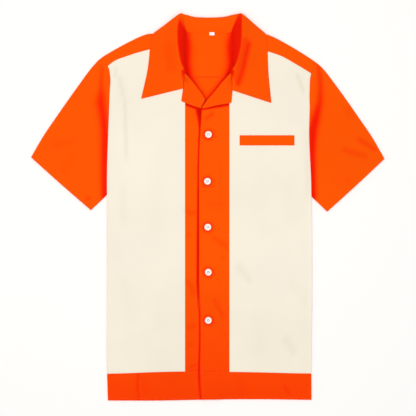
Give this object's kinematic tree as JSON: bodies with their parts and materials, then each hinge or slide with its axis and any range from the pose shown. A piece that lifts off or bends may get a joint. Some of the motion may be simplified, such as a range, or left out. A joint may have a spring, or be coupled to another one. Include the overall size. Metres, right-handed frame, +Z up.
{
  "type": "bowling shirt",
  "caption": "Short-sleeved button-front shirt laid flat, with an open camp collar, contrast centre strips, yoke, sleeves and hem band, and a chest pocket welt.",
  "frame": {"origin": "on the surface that the shirt lies on, under the middle of its length and span", "axes": "+X towards the wearer's left sleeve, +Y towards the collar, +Z up from the surface, through the front"},
  "size_m": [0.7246, 0.7957, 0.0218],
  "materials": {
    "orange_cloth": "matte woven cotton poplin",
    "cream_cloth": "matte woven cotton poplin",
    "label": "smooth woven tape",
    "buttons": "polished"
  },
  "bodies": {
    "root": {"back": "orange_cloth", "yoke": "orange_cloth", "front_panel_right": "cream_cloth", "front_panel_left": "cream_cloth", "front_strip_right": "orange_cloth", "front_strip_left": "orange_cloth", "facing_right": "orange_cloth", "facing_left": "orange_cloth", "collar": "orange_cloth", "sleeve_right": "orange_cloth", "sleeve_left": "orange_cloth", "hem_band_right": "orange_cloth", "hem_band_left": "orange_cloth", "pocket_welt": "orange_cloth", "neck_label": "label", "button_1": "buttons", "button_2": "buttons", "button_3": "buttons", "button_4": "buttons", "button_5": "buttons"}
  },
  "joints": []
}
